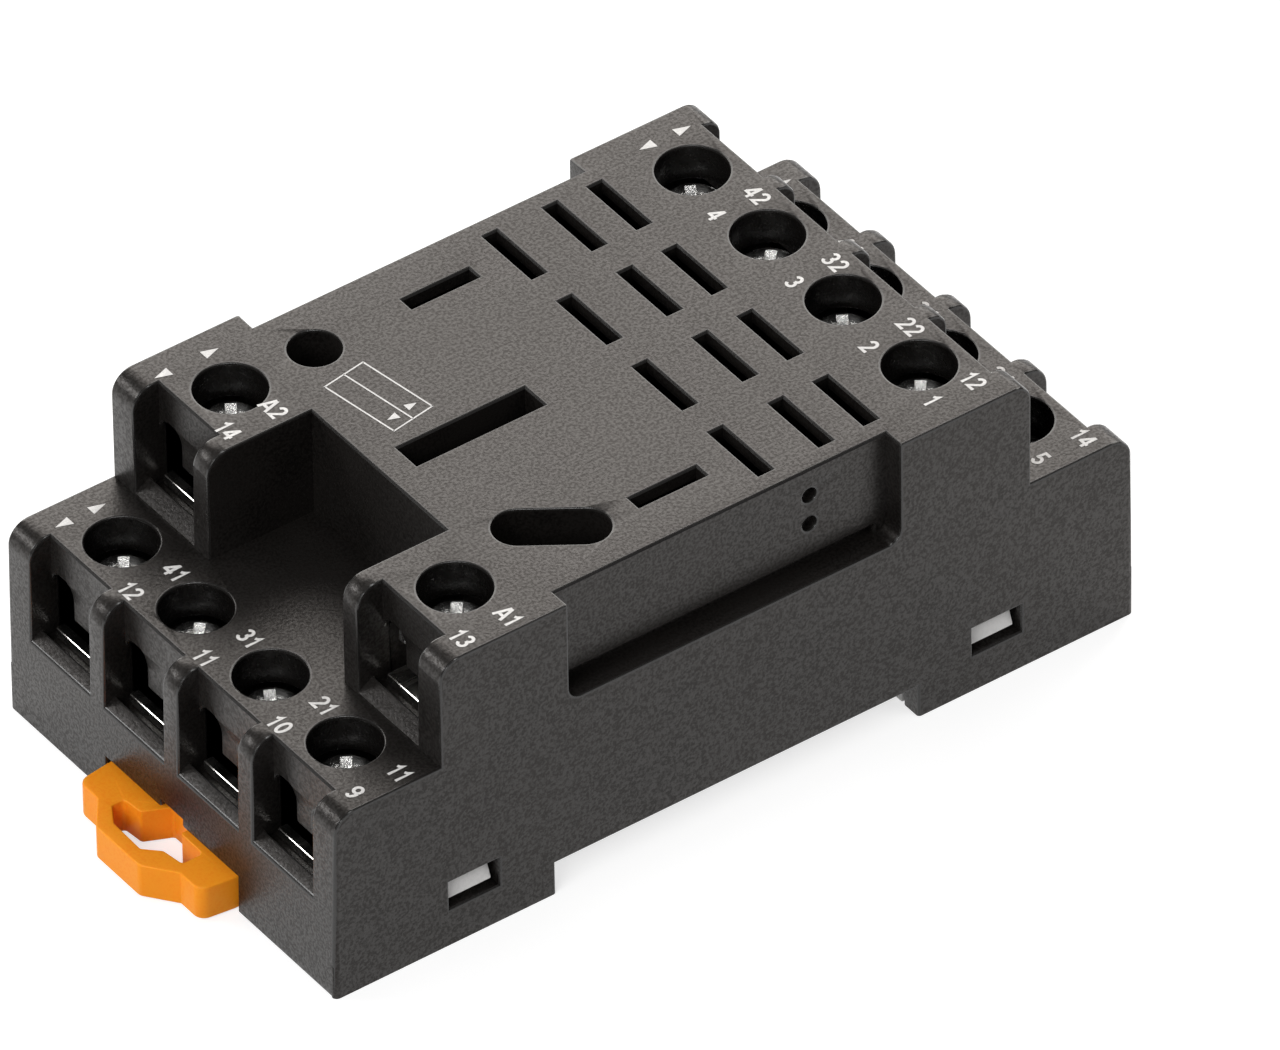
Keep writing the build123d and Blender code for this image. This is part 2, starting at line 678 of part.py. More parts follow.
# Blade contacts: two sprung leaves that close on the relay's blade and open out at the top
for number, screw_x, row_y, deck_z, facing, front, blade_x, blade_y in terminals:
    if is_coil(number):
        section_plane = Plane(origin=(blade_x, blade_y, 0), x_dir=(0, 1, 0), z_dir=(1, 0, 0))
    else:
        section_plane = Plane(origin=(blade_x, blade_y, 0), x_dir=(1, 0, 0), z_dir=(0, -1, 0))
    root = (contact_base - contact_sheet) / 2
    throat = (contact_gap + contact_sheet) / 2
    base_z = seat_z + contact_sheet / 2
    throat_z = contact_top_z - contact_throat_drop
    with BuildPart() as contact:
        with BuildSketch(section_plane) as leaves:
            with BuildLine() as centre_line:
                Polyline(
                    (-root + contact_flare, contact_top_z),
                    (-throat, throat_z),
                    (-root, base_z + contact_straight),
                    (-root, base_z),
                    (root, base_z),
                    (root, base_z + contact_straight),
                    (throat, throat_z),
                    (root - contact_flare, contact_top_z),
                )
            trace(line_width=contact_sheet)
        extrude(amount=contact_width / 2, both=True)
    write(contact.part, f"blade_contact_{number:02d}")
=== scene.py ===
import math

import bmesh
import bpy
from mathutils import Matrix, Vector


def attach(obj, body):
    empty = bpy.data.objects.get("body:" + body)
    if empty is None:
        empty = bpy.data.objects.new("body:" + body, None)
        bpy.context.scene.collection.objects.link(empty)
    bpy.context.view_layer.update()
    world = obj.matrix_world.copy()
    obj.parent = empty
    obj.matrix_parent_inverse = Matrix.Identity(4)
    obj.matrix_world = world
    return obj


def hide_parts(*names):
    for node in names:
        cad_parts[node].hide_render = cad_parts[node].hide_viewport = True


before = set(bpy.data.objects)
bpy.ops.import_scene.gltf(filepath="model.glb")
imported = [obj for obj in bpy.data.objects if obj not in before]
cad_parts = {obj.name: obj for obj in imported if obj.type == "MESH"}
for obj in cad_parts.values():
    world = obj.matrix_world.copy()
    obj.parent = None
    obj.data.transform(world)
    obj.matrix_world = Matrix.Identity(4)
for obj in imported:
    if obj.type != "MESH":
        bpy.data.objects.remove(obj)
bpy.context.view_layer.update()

# Relay socket with four poles, for a mounting rail. Units are metres, in the frame of the CAD model:
# X runs along the socket from the clip end, Y across it and Z up.
mm = 0.001


# Housing
# One moulding of black glass-filled plastic, open underneath, with a low and a high deck of terminals.
# The mould gives its faces a fine matt grain and its outer edges a small radius, a little smoother; these
# rounded edges are also painted a lighter black, a painted highlight.
edge_radius = 0.22 * mm
edge_steps = 2
well_radius = 3.0 * mm
well_margin = 0.1 * mm
low_deck, high_deck = 18.4 * mm, 28.7 * mm
low_screw_x, high_screw_x, coil_screw_x = 32.4 * mm, 23.0 * mm, 21.75 * mm
pole_rows = (15 * mm, 5 * mm, -5 * mm, -15 * mm)
# Where each terminal's screw stands: x, y and the height of its deck, by the terminal's number
screw_places = {}
for row, row_y in enumerate(pole_rows):
    screw_places[4 - row] = (high_screw_x, row_y, high_deck)
    screw_places[8 - row] = (low_screw_x, row_y, low_deck)
    screw_places[12 - row] = (-low_screw_x, row_y, low_deck)
screw_places[14] = (-coil_screw_x, pole_rows[0], high_deck)
screw_places[13] = (-coil_screw_x, pole_rows[-1], high_deck)

# Points closer than these are welded, and thinner faces dissolved, before and after the edges are rounded
rough_weld, rough_sliver, fine_weld = 0.03 * mm, 0.02 * mm, 0.004 * mm
flat_angle, corner_angle, crease_angle = math.radians(0.5), math.radians(30), math.radians(28)
wide_face_area = 20 * mm * mm
# The narrow ledges under the wire pockets lie between two heights, and the underside's edges below a third
ledge_low, ledge_high = 18.45 * mm, 18.75 * mm
parting_height = 0.01 * mm


def add_socket(group, name, direction, kind, value=None):
    """Add one named input or output to a node group."""
    socket = group.interface.new_socket(name=name, in_out=direction, socket_type=kind)
    if value is not None:
        socket.default_value = value


def join(tree, source, target):
    """Link one output to one input."""
    tree.links.new(source, target)


def make_grain_group():
    """Fine moulded grain with a faint mottle: colour, roughness and height."""
    group = bpy.data.node_groups.new("moulded grain", "ShaderNodeTree")
    add_socket(group, "Colour", "INPUT", "NodeSocketColor", (0.05, 0.05, 0.05, 1))
    add_socket(group, "Worn Colour", "INPUT", "NodeSocketColor", (0.08, 0.08, 0.08, 1))
    add_socket(group, "Grain Scale", "INPUT", "NodeSocketFloat", 5200.0)
    add_socket(group, "Mottle Scale", "INPUT", "NodeSocketFloat", 160.0)
    add_socket(group, "Roughness", "INPUT", "NodeSocketFloat", 0.5)
    add_socket(group, "Colour", "OUTPUT", "NodeSocketColor")
    add_socket(group, "Roughness", "OUTPUT", "NodeSocketFloat")
    add_socket(group, "Height", "OUTPUT", "NodeSocketFloat")
    add_socket(group, "Glint", "OUTPUT", "NodeSocketFloat")
    nodes = group.nodes
    given = nodes.new("NodeGroupInput")
    result = nodes.new("NodeGroupOutput")
    place = nodes.new("ShaderNodeTexCoord")

    grain = nodes.new("ShaderNodeTexNoise")
    grain.inputs["Detail"].default_value = 2.0
    grain.inputs["Roughness"].default_value = 0.6
    join(group, place.outputs["Object"], grain.inputs["Vector"])
    join(group, given.outputs["Grain Scale"], grain.inputs["Scale"])
    join(group, grain.outputs["Fac"], result.inputs["Height"])

    mottle = nodes.new("ShaderNodeTexNoise")
    mottle.inputs["Detail"].default_value = 5.0
    join(group, place.outputs["Object"], mottle.inputs["Vector"])
    join(group, given.outputs["Mottle Scale"], mottle.inputs["Scale"])
    patches = nodes.new("ShaderNodeMapRange")
    patches.inputs["From Min"].default_value = 0.35
    patches.inputs["From Max"].default_value = 0.75
    join(group, mottle.outputs["Fac"], patches.inputs["Value"])
    flecks = nodes.new("ShaderNodeMapRange")
    flecks.inputs["From Min"].default_value = 0.40
    flecks.inputs["From Max"].default_value = 0.60
    join(group, grain.outputs["Fac"], flecks.inputs["Value"])
    join(group, flecks.outputs["Result"], result.inputs["Glint"])
    worn = nodes.new("ShaderNodeMath")
    worn.operation = "ADD"
    worn.use_clamp = True
    join(group, patches.outputs["Result"], worn.inputs[0])
    join(group, flecks.outputs["Result"], worn.inputs[1])
    tint = nodes.new("ShaderNodeMix")
    tint.data_type = "RGBA"
    join(group, worn.outputs["Value"], tint.inputs["Factor"])
    join(group, given.outputs["Colour"], tint.inputs["A"])
    join(group, given.outputs["Worn Colour"], tint.inputs["B"])
    join(group, tint.outputs["Result"], result.inputs["Colour"])

    spread = nodes.new("ShaderNodeMapRange")
    spread.inputs["To Min"].default_value = -0.06
    spread.inputs["To Max"].default_value = 0.06
    join(group, mottle.outputs["Fac"], spread.inputs["Value"])
    rough = nodes.new("ShaderNodeMath")
    rough.operation = "ADD"
    join(group, spread.outputs["Result"], rough.inputs[0])
    join(group, given.outputs["Roughness"], rough.inputs[1])
    speckle = nodes.new("ShaderNodeMath")
    speckle.operation = "MULTIPLY_ADD"
    speckle.inputs[1].default_value = -0.08
    join(group, flecks.outputs["Result"], speckle.inputs[0])
    join(group, rough.outputs["Value"], speckle.inputs[2])
    join(group, speckle.outputs["Value"], result.inputs["Roughness"])
    return group


moulded_grain = make_grain_group()


def grained_plastic(name, colour, worn_colour, roughness, grain_scale, grain_depth, mottle_scale=160.0,
                    gloss=0.5, glint=0.0):
    """A moulded plastic: the grain group feeding a Principled shader, with an uneven skin where it glints."""
    material = bpy.data.materials.new(name)
    material.use_nodes = True
    tree = material.node_tree
    shader = tree.nodes["Principled BSDF"]
    shader.inputs["Specular IOR Level"].default_value = gloss
    grain = tree.nodes.new("ShaderNodeGroup")
    grain.node_tree = moulded_grain
    grain.inputs["Colour"].default_value = (*colour, 1)
    grain.inputs["Worn Colour"].default_value = (*worn_colour, 1)
    grain.inputs["Grain Scale"].default_value = grain_scale
    grain.inputs["Mottle Scale"].default_value = mottle_scale
    grain.inputs["Roughness"].default_value = roughness
    bump = tree.nodes.new("ShaderNodeBump")
    bump.inputs["Distance"].default_value = grain_depth
    bump.inputs["Strength"].default_value = 0.6
    join(tree, grain.outputs["Colour"], shader.inputs["Base Color"])
    join(tree, grain.outputs["Roughness"], shader.inputs["Roughness"])
    join(tree, grain.outputs["Height"], bump.inputs["Height"])
    join(tree, bump.outputs["Normal"], shader.inputs["Normal"])
    if glint:
        skin = tree.nodes.new("ShaderNodeMath")
        skin.operation = "MULTIPLY"
        skin.inputs[1].default_value = glint
        join(tree, grain.outputs["Glint"], skin.inputs[0])
        join(tree, skin.outputs["Value"], shader.inputs["Coat Weight"])
        shader.inputs["Coat Roughness"].default_value = roughness
    return material


def finished_mesh(name, shape):
    """Turn a bmesh into a named mesh and let the bmesh go."""
    mesh = bpy.data.meshes.new(name)
    shape.to_mesh(mesh)
    shape.free()
    return mesh


def put_in_scene(name, data):
    """Make an object out of a mesh, a lamp or a camera and link it to the scene."""
    item = bpy.data.objects.new(name, data)
    bpy.context.scene.collection.objects.link(item)
    return item


def shade_smoothly(shape, sharp_from):
    """Smooth every face, and mark as sharp the edges that turn by at least the given angle."""
    for face in shape.faces:
        face.smooth = True
    for edge in shape.edges:
        edge.smooth = edge.calc_face_angle(0.0) < sharp_from


def rounded_copy(node, name, radius, steps, looks, picks=None):
    """Copy a CAD node's shape, round its outward edges inside its own box and shade it smoothly.

    The first of the looks goes on its faces, the second on its rounded edges.
    """
    shape = bmesh.new()
    shape.from_mesh(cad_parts[node].data)
    bmesh.ops.remove_doubles(shape, verts=shape.verts, dist=rough_weld)
    bmesh.ops.dissolve_degenerate(shape, edges=shape.edges, dist=rough_sliver)
    bmesh.ops.dissolve_limit(shape, angle_limit=flat_angle, verts=shape.verts, edges=shape.edges)
    limits = [(min(vert.co[axis] for vert in shape.verts), max(vert.co[axis] for vert in shape.verts))
              for axis in range(3)]
    rounded = [
        edge for edge in shape.edges
        if len(edge.link_faces) == 2 and edge.is_convex and edge.calc_face_angle(0.0) > corner_angle
        and (picks is None or picks(edge))
    ]
    bmesh.ops.bevel(shape, geom=rounded, offset=radius, offset_type="OFFSET", segments=steps, profile=0.5,
                    affect="EDGES", clamp_overlap=False, material=1, miter_outer="ARC")
    for vert in shape.verts:
        vert.co = [min(max(value, least), most) for value, (least, most) in zip(vert.co, limits)]
    bmesh.ops.remove_doubles(shape, verts=shape.verts, dist=fine_weld)
    bmesh.ops.dissolve_degenerate(shape, edges=shape.edges, dist=fine_weld)
    # Wide faces are split evenly here, because a long thin triangle would show on them as a dark line
    wide_faces = [face for face in shape.faces if len(face.verts) > 4 and face.calc_area() > wide_face_area]
    bmesh.ops.triangulate(shape, faces=wide_faces, quad_method="BEAUTY", ngon_method="BEAUTY")
    shade_smoothly(shape, crease_angle)
    piece = put_in_scene(name, finished_mesh(name, shape))
    for look in looks:
        piece.data.materials.append(look)
    normals = piece.modifiers.new("even shading", "WEIGHTED_NORMAL")
    normals.keep_sharp = True
    return piece


def moulded_edge(edge):
    """Leave sharp the narrow ledges under the wire pockets, and the parting edges at the underside."""
    narrow_ledge = all(ledge_low < vert.co.z < ledge_high for vert in edge.verts)
    parting_edge = all(vert.co.z < parting_height for vert in edge.verts)
    return not narrow_ledge and not parting_edge


def inside_well(place):
    """Whether a point lies in a screw's well, below the rounded rim."""
    return any(math.hypot(place.x - x, place.y - y) < well_radius + well_margin
               and place.z < deck - edge_radius for x, y, deck in screw_places.values())


black_plastic = grained_plastic("black moulded plastic", (0.0042, 0.0036, 0.0033), (0.0100, 0.0088, 0.0080),
                                0.37, 3800.0, 0.045 * mm, gloss=0.28, glint=0.39)
black_plastic.node_tree.nodes["Principled BSDF"].inputs["Specular Tint"].default_value = (1.0, 0.93, 0.88, 1)
# Painted highlight: the rounded edges get a lighter black than the faces, as well as a smoother, glossier
# finish
black_edge_painted_highlight = grained_plastic("black plastic, smooth edge with painted highlight", (0.008, 0.0072, 0.0066), (0.016, 0.0148, 0.0140),
                             0.27, 3800.0, 0.010 * mm, gloss=0.50)
# Painted shade: the wells get a darker black than the rest of the housing, with a weaker sheen
black_well_painted_shade = grained_plastic("black plastic, painted shade in the wells", (0.0030, 0.0026, 0.0024),
                             (0.0055, 0.0049, 0.0045), 0.32, 2400.0, 0.012 * mm, gloss=0.20)
housing = rounded_copy("housing", "housing_moulding", edge_radius, edge_steps,
                       (black_plastic, black_edge_painted_highlight, black_well_painted_shade), moulded_edge)
# The wells take the third look, a darker black that is painted shade in the wells
for face in housing.data.polygons:
    if inside_well(face.center):
        face.material_index = 2
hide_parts("housing")
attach(housing, "socket_body")


# Bottom cover
# A second moulding, in light grey plastic, that closes the housing from below and carries the rail channel.
# Four snap hooks hold it; their pale, smooth faces show in the windows of the long sides.
cover_plastic = grained_plastic("grey cover plastic", (0.72, 0.71, 0.70), (0.78, 0.77, 0.76),
                                0.36, 3000.0, 0.008 * mm)
cover_edge_radius = 0.12 * mm
cover = rounded_copy("bottom_cover", "bottom_cover_moulding", cover_edge_radius, 2,
                     (cover_plastic, cover_plastic))
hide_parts("bottom_cover")
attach(cover, "socket_body")


# Rail clip
# One flat slide moulded in bright orange plastic, with a pull tab and a see-through aperture.
# Its surface is satin, and the thin walls let a little light through.
clip_orange = grained_plastic("orange clip plastic", (0.98, 0.28, 0.010), (1.00, 0.33, 0.016),
                              0.45, 3600.0, 0.008 * mm, gloss=0.15)
clip_shader = clip_orange.node_tree.nodes["Principled BSDF"]
clip_shader.inputs["Subsurface Weight"].default_value = 0.25
clip_shader.inputs["Subsurface Radius"].default_value = (1.2 * mm, 0.5 * mm, 0.1 * mm)
clip_shader.inputs["Subsurface Scale"].default_value = 1.0
clip_edge_radius = 0.15 * mm
clip = rounded_copy("rail_clip", "rail_clip_moulding", clip_edge_radius, 3, (clip_orange, clip_orange))
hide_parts("rail_clip")
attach(clip, "clip_slide")


# Terminal screws
# Fourteen captive screws of nickel-plated steel, with a domed head that takes a blade or a cross bit.
# The recesses are struck, so their rims are slightly rounded, and the thread is rolled.
head_drop = 3.0 * mm
head_radius = 2.65 * mm
head_height = 2.0 * mm
head_facets = 40
shank_radius = 1.7 * mm
shank_length = 5.6 * mm
thread_depth = 0.28 * mm
thread_pitch = 0.6 * mm
core_radius = shank_radius - thread_depth
tip_radius = 0.9 * mm
# The ridge of the thread: half its width, where it starts under the head, what it leaves plain, and how far
# its crest stays inside the shank's radius
ridge_half_width, ridge_start, plain_length, crest_inset = 0.24 * mm, 0.25 * mm, 0.8 * mm, 0.01 * mm
# Struck rims: their radius, how deep they are found, and the least angle of an edge that takes one
struck_radius, struck_depth, struck_angle = 0.07 * mm, 1.2 * mm, math.radians(35)
screw_weld = 0.05 * mm
screw_crease_angle = math.radians(32)
# The recess cutters start this far above the crown
cutter_top = 0.3 * mm


def turned(shape, profile, segments):
    """Turn a list of (radius, z) points round the Z axis and cap what reaches the axis."""
    rings = []
    for radius, z in profile:
        if radius == 0:
            rings.append([shape.verts.new((0, 0, z))])
        else:
            rings.append([
                shape.verts.new((radius * math.cos(2 * math.pi * step / segments),
                                 radius * math.sin(2 * math.pi * step / segments), z))
                for step in range(segments)
            ])
    for upper, lower in zip(rings, rings[1:]):
        for step in range(segments):
            following = (step + 1) % segments
            corners = [upper[step % len(upper)], lower[step % len(lower)],
                       lower[following % len(lower)], upper[following % len(upper)]]
            corners = list(dict.fromkeys(corners))
            if len(corners) > 2:
                shape.faces.new(corners)


def solid_piece(name, shape):
    """Make a mesh object out of a finished bmesh."""
    bmesh.ops.recalc_face_normals(shape, faces=shape.faces)
    return put_in_scene(name, finished_mesh(name, shape))


def cut_away(piece, cutter):
    """Cut one closed shape out of another and keep the result as the piece's own mesh."""
    cut = piece.modifiers.new("cut", "BOOLEAN")
    cut.operation = "DIFFERENCE"
    cut.solver = "EXACT"
    cut.object = cutter
    bpy.context.view_layer.update()
    finished = bpy.data.meshes.new_from_object(piece.evaluated_get(bpy.context.evaluated_depsgraph_get()))
    piece.modifiers.clear()
    piece.data = finished
    bpy.data.objects.remove(cutter)


def tapered_box(shape, top_size, bottom_size, top, bottom, turn):
    """A box that narrows downwards from one length and width to another, turned about Z."""
    spin = Matrix.Rotation(turn, 3, "Z")
    corners = []
    for z, (length, width) in ((top, top_size), (bottom, bottom_size)):
        for sx, sy in ((-1, -1), (1, -1), (1, 1), (-1, 1)):
            corners.append(shape.verts.new(spin @ Vector((sx * length / 2, sy * width / 2, z))))
    for face in ((0, 1, 2, 3), (7, 6, 5, 4), (0, 4, 5, 1), (1, 5, 6, 2), (2, 6, 7, 3), (3, 7, 4, 0)):
        shape.faces.new([corners[index] for index in face])


# The blank, from the crown of the dome down to the tip, as radius and height
blank_shape = bmesh.new()
turned(blank_shape, [
    (0, 0), (1.5 * mm, -0.02 * mm), (2.0 * mm, -0.10 * mm), (2.3 * mm, -0.24 * mm),
    (2.52 * mm, -0.46 * mm), (head_radius, -0.8 * mm), (head_radius, -head_height + 0.1 * mm),
    (head_radius - 0.1 * mm, -head_height), (core_radius, -head_height),
    (core_radius, -head_height - shank_length + 0.4 * mm),
    (tip_radius, -head_height - shank_length), (0, -head_height - shank_length),
], head_facets)
screw_blank = solid_piece("screw_blank", blank_shape)
# Each recess: its length and width at the top and at the bottom, its depth, and its turn
for top_size, bottom_size, depth, turn in (
    ((5.9 * mm, 0.75 * mm), (4.4 * mm, 0.70 * mm), 0.55 * mm, math.pi / 2),
    ((4.5 * mm, 1.0 * mm), (1.0 * mm, 0.7 * mm), 1.15 * mm, 0.0),
    ((4.5 * mm, 1.0 * mm), (1.0 * mm, 0.7 * mm), 1.15 * mm, math.pi / 2),
    ((1.9 * mm, 1.9 * mm), (1.0 * mm, 1.0 * mm), 1.5 * mm, math.pi / 4),
):
    recess = bmesh.new()
    tapered_box(recess, top_size, bottom_size, cutter_top, -depth, turn)
    cut_away(screw_blank, solid_piece("screw_cutter", recess))

# Struck rims: the upper edges of the recesses are rounded a little
screw_shape = bmesh.new()
screw_shape.from_mesh(screw_blank.data)
bmesh.ops.remove_doubles(screw_shape, verts=screw_shape.verts, dist=screw_weld)
bmesh.ops.dissolve_degenerate(screw_shape, edges=screw_shape.edges, dist=rough_sliver)
bmesh.ops.dissolve_limit(screw_shape, angle_limit=flat_angle, verts=screw_shape.verts,
                         edges=screw_shape.edges)
struck = [
    edge for edge in screw_shape.edges
    if len(edge.link_faces) == 2 and edge.is_convex and edge.calc_face_angle(0.0) > struck_angle
    and min(vert.co.z for vert in edge.verts) > -struck_depth
    and max(math.hypot(vert.co.x, vert.co.y) for vert in edge.verts) < head_radius
]
bmesh.ops.bevel(screw_shape, geom=struck, offset=struck_radius, offset_type="OFFSET", segments=2, profile=0.5,
                affect="EDGES", clamp_overlap=True)
bmesh.ops.remove_doubles(screw_shape, verts=screw_shape.verts, dist=fine_weld)
bmesh.ops.triangulate(screw_shape, faces=[face for face in screw_shape.faces if len(face.verts) > 4],
                      ngon_method="EAR_CLIP")

# The rolled thread: a ridge of triangular section that winds down the shank
steps_round = 20
turns = int((shank_length - plain_length) / thread_pitch)
ridge = []
for step in range(steps_round * turns + 1):
    angle = 2 * math.pi * step / steps_round
    z = -head_height - ridge_start - thread_pitch * step / steps_round
    # The ridge swells over its first turn and dies away over its last
    swell = min(1.0, step / steps_round, (steps_round * turns - step) / steps_round)
    ring = []
    for radius, rise in ((core_radius, ridge_half_width),
                         (shank_radius - thread_depth * (1 - swell) - crest_inset, 0.0),
                         (core_radius, -ridge_half_width)):
        ring.append(screw_shape.verts.new((radius * math.cos(angle), radius * math.sin(angle), z + rise)))
    ridge.append(ring)
for before, after in zip(ridge, ridge[1:]):
    for side in range(3):
        following = (side + 1) % 3
        screw_shape.faces.new((before[side], before[following], after[following], after[side]))
screw_shape.faces.new(ridge[0])
screw_shape.faces.new(ridge[-1])
bmesh.ops.recalc_face_normals(screw_shape, faces=screw_shape.faces)
shade_smoothly(screw_shape, screw_crease_angle)
screw_mesh = finished_mesh("terminal_screw", screw_shape)
bpy.data.objects.remove(screw_blank)


def make_metal_group():
    """Plated metal: slightly uneven tone, fine scuffs in the gloss, and shallow tool marks."""
    group = bpy.data.node_groups.new("plated metal", "ShaderNodeTree")
    add_socket(group, "Colour", "INPUT", "NodeSocketColor", (0.7, 0.7, 0.7, 1))
    add_socket(group, "Dull Colour", "INPUT", "NodeSocketColor", (0.5, 0.5, 0.5, 1))
    add_socket(group, "Scale", "INPUT", "NodeSocketFloat", 900.0)
    add_socket(group, "Roughness", "INPUT", "NodeSocketFloat", 0.2)
    add_socket(group, "Stretch", "INPUT", "NodeSocketVector", (1, 1, 1))
    add_socket(group, "Colour", "OUTPUT", "NodeSocketColor")
    add_socket(group, "Roughness", "OUTPUT", "NodeSocketFloat")
    add_socket(group, "Height", "OUTPUT", "NodeSocketFloat")
    nodes = group.nodes
    given = nodes.new("NodeGroupInput")
    result = nodes.new("NodeGroupOutput")
    place = nodes.new("ShaderNodeTexCoord")
    drawn = nodes.new("ShaderNodeVectorMath")
    drawn.operation = "MULTIPLY"
    join(group, place.outputs["Object"], drawn.inputs[0])
    join(group, given.outputs["Stretch"], drawn.inputs[1])
    scuffs = nodes.new("ShaderNodeTexNoise")
    scuffs.inputs["Detail"].default_value = 6.0
    scuffs.inputs["Roughness"].default_value = 0.65
    join(group, drawn.outputs["Vector"], scuffs.inputs["Vector"])
    join(group, given.outputs["Scale"], scuffs.inputs["Scale"])
    dull = nodes.new("ShaderNodeMapRange")
    dull.inputs["From Min"].default_value = 0.4
    dull.inputs["From Max"].default_value = 0.75
    join(group, scuffs.outputs["Fac"], dull.inputs["Value"])
    tint = nodes.new("ShaderNodeMix")
    tint.data_type = "RGBA"
    join(group, dull.outputs["Result"], tint.inputs["Factor"])
    join(group, given.outputs["Colour"], tint.inputs["A"])
    join(group, given.outputs["Dull Colour"], tint.inputs["B"])
    join(group, tint.outputs["Result"], result.inputs["Colour"])
    spread = nodes.new("ShaderNodeMath")
    spread.operation = "MULTIPLY_ADD"
    spread.inputs[1].default_value = 0.18
    join(group, dull.outputs["Result"], spread.inputs[0])
    join(group, given.outputs["Roughness"], spread.inputs[2])
    join(group, spread.outputs["Value"], result.inputs["Roughness"])
    join(group, scuffs.outputs["Fac"], result.inputs["Height"])
    return group


plated_metal = make_metal_group()


def plated(name, colour, dull_colour, roughness, scale, depth, stretch=(1, 1, 1)):
    """A plated metal: the scuff group feeding a plain metallic Principled shader."""
    material = bpy.data.materials.new(name)
    material.use_nodes = True
    tree = material.node_tree
    shader = tree.nodes["Principled BSDF"]
    shader.inputs["Metallic"].default_value = 1.0
    finish = tree.nodes.new("ShaderNodeGroup")
    finish.node_tree = plated_metal
    finish.inputs["Colour"].default_value = (*colour, 1)
    finish.inputs["Dull Colour"].default_value = (*dull_colour, 1)
    finish.inputs["Scale"].default_value = scale
    finish.inputs["Roughness"].default_value = roughness
    finish.inputs["Stretch"].default_value = stretch
    bump = tree.nodes.new("ShaderNodeBump")
    bump.inputs["Distance"].default_value = depth
    bump.inputs["Strength"].default_value = 0.5
    join(tree, finish.outputs["Colour"], shader.inputs["Base Color"])
    join(tree, finish.outputs["Roughness"], shader.inputs["Roughness"])
    join(tree, finish.outputs["Height"], bump.inputs["Height"])
    join(tree, bump.outputs["Normal"], shader.inputs["Normal"])
    return material


nickel = plated("bright nickel plate", (0.90, 0.89, 0.87), (0.74, 0.73, 0.71), 0.15, 1300.0, 0.24 * mm)
screw_mesh.materials.append(nickel)
# How far each head is turned, in degrees, from terminal 1 to 14
head_turns = (50, 57, 44, 61, 52, 47, 58, 49, 55, 60, 46, 53, 51, 56)
for number, (x, y, deck) in sorted(screw_places.items()):
    screw = put_in_scene(f"screw_{number:02d}_detailed", screw_mesh)
    screw.location = (x, y, deck - head_drop)
    screw.rotation_euler = (0, 0, math.radians(head_turns[number - 1]))
    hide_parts(f"terminal_screw_{number:02d}")
    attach(screw, f"screw_{number:02d}")


# Clamp plates
# Square washers of zinc-plated steel, stamped with two turned-down edges that hold the wire.
# They hang under the screw heads, and their edges catch the light in the wire entries.
zinc = plated("zinc plate", (0.90, 0.90, 0.88), (0.70, 0.70, 0.69), 0.26, 900.0, 0.15 * mm)
plate_edge_radius = 0.28 * mm
for number in sorted(screw_places):
    plate = rounded_copy(f"clamp_plate_{number:02d}", f"clamp_{number:02d}_stamped", plate_edge_radius, 3,
                         (zinc, zinc))
    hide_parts(f"clamp_plate_{number:02d}")
    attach(plate, f"clamp_{number:02d}")


# Busbars
# Strips of tinned brass, blanked and bent: a threaded plate under each screw, then a leg on edge.
# Rolling leaves long drawn marks in the strip, and the tin over them is fairly bright.
tinned_brass = plated("tinned brass", (0.80, 0.79, 0.76), (0.62, 0.60, 0.56), 0.20, 500.0, 0.01 * mm,
                      (0.15, 1.0, 1.0))
bar_edge_radius = 0.16 * mm
for number in sorted(screw_places):
    bar = rounded_copy(f"busbar_{number:02d}", f"busbar_{number:02d}_blanked", bar_edge_radius, 3,
                       (tinned_brass, tinned_brass))
    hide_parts(f"busbar_{number:02d}")
    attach(bar, "socket_body")


# Blade contacts
# Folded strips of tinned bronze, sprung together, one under each slot of the plug face.
# Only their flared tips show.
tinned_bronze = plated("tinned bronze", (0.72, 0.70, 0.66), (0.55, 0.52, 0.47), 0.26, 600.0, 0.01 * mm,
                       (1.0, 1.0, 0.2))
for number in sorted(screw_places):
    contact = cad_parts[f"blade_contact_{number:02d}"]
    contact.data.materials.clear()
    contact.data.materials.append(tinned_bronze)


# Printed marks
# White ink, pad-printed on the decks: the terminals' plain numbers, and small triangles at the corners.
# The film is a hundredth of a millimetre thick and matt, and clears the deck by about as much.
ink_gap = 0.012 * mm
ink_thickness = 0.010 * mm
figure_height = 1.66 * mm
# The width of a stroke, how far each lies over the last, and the gap between figures, in figure heights
stroke = 0.165
stroke_lift = 0.003 * mm / figure_height
figure_gap = 0.10
white_ink = grained_plastic("white printing ink", (0.80, 0.79, 0.77), (0.62, 0.61, 0.60), 0.55,
                            5200.0, 0.004 * mm, 700.0)
# Each mark: its words, the x and y of its middle in mm, and the deck that it stands on
figures = []
near_outer, near_inner = -35.3, -31.2
far_inner, far_outer, far_last = 31.1, 34.6, 35.3
upper_inner, upper_outer = 21.2, 25.2
coil_outer, coil_inner = -24.9, -20.5
for row, row_mm in enumerate((15, 5, -5, -15)):
    figures.append((str(12 - row), near_outer, row_mm - 5.3, low_deck))
    figures.append((f"{4 - row}1", near_inner, row_mm - 5.5, low_deck))
    figures.append((str(8 - row), far_inner, row_mm - 5.0, low_deck))
    figures.append((f"{4 - row}4", far_outer if row < 3 else far_last, row_mm - 5.0, low_deck))
for number, upper, mark_y in ((4, 42, 9.4), (3, 32, -1.0), (2, 22, -10.9), (1, 12, -19.1)):
    figures.append((str(number), upper_inner, mark_y, high_deck))
    figures.append((str(upper), upper_outer, mark_y, high_deck))
for number, coil, mark_y in ((14, "A2", 10.9), (13, "A1", -20.3)):
    figures.append((str(number), coil_outer, mark_y, high_deck))
    figures.append((coil, coil_inner, mark_y, high_deck))


